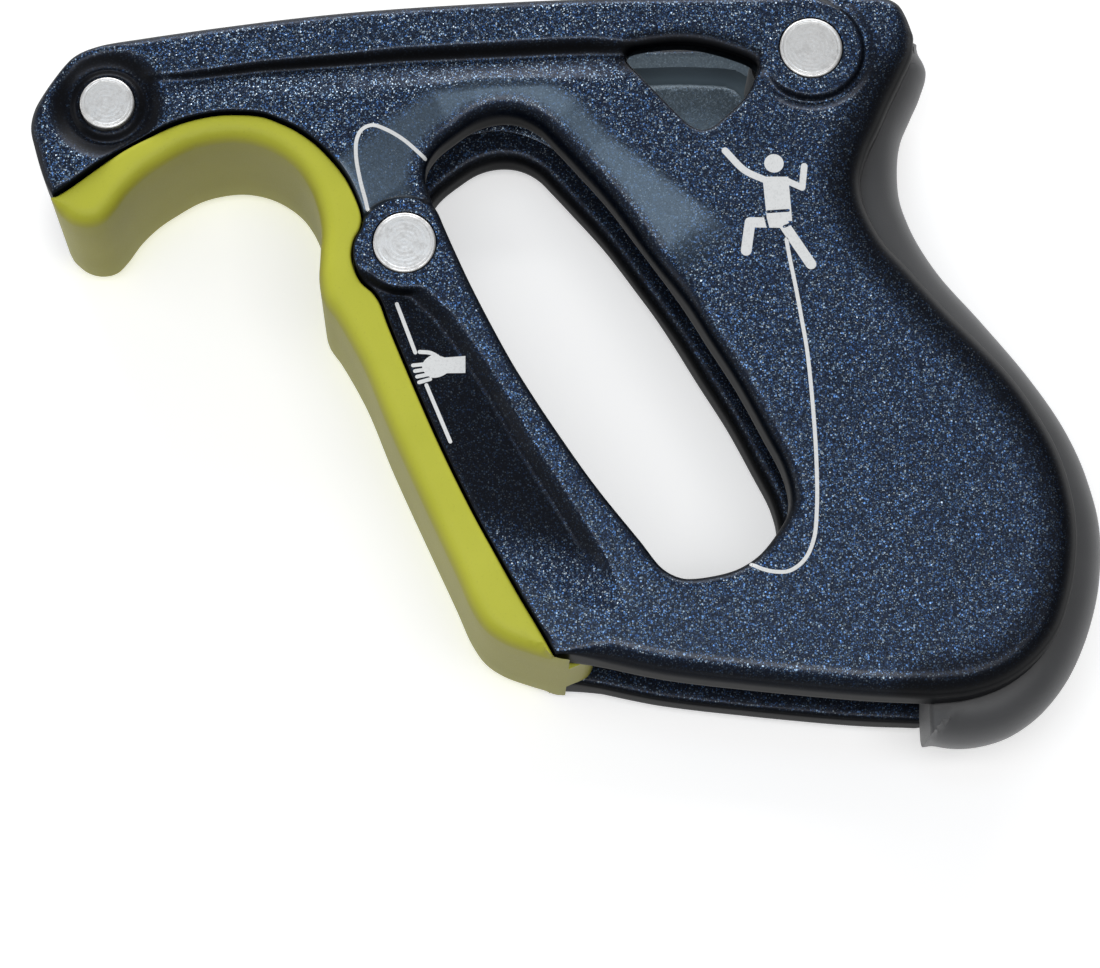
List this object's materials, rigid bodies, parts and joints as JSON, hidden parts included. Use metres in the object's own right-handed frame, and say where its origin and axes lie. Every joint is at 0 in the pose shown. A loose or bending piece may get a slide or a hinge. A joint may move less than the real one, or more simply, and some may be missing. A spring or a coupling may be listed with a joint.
{
  "type": "assisted-braking belay device",
  "caption": "Palm-sized belay device of two forged side plates with a long carabiner window, moulded thumb hook, rope gap between the plates and a rubber palm grip.",
  "frame": {"origin": "centre of the device's box in plan, on the plane of the rear side plate's outer face, which it lies on", "axes": "+X from the thumb hook to the palm grip (longest extent), +Y from the rope slot to the top rib, +Z from the rear side plate to the front one (shortest extent)"},
  "size_m": [0.145, 0.1026, 0.028],
  "materials": {
    "flake_paint": "dark navy paint with dense blue and silver metallic flake, glossy",
    "lime_polymer": "moulded lime-green polymer, satin with a fine mould texture",
    "grip_rubber": "smooth dark grey overmoulded rubber, matt",
    "core_polymer": "black glass-filled nylon, matt",
    "rivet_steel": "bright stainless steel, faced on a lathe, with fine turning rings",
    "spacer_steel": "plain hardened steel, turned"
  },
  "bodies": {
    "root": {"front_side_plate": "flake_paint", "rear_side_plate": "flake_paint", "hook_bumper": "lime_polymer", "grip_core": "core_polymer", "grip_pad": "grip_rubber", "hook_rivet": "rivet_steel", "centre_rivet": "rivet_steel", "heel_rivet": "rivet_steel", "hook_spacer": "spacer_steel", "brake_post": "spacer_steel", "heel_spacer": "spacer_steel", "bumper_dowel": "spacer_steel", "grip_dowel_upper": "spacer_steel", "grip_dowel_lower": "spacer_steel"}
  },
  "joints": []
}
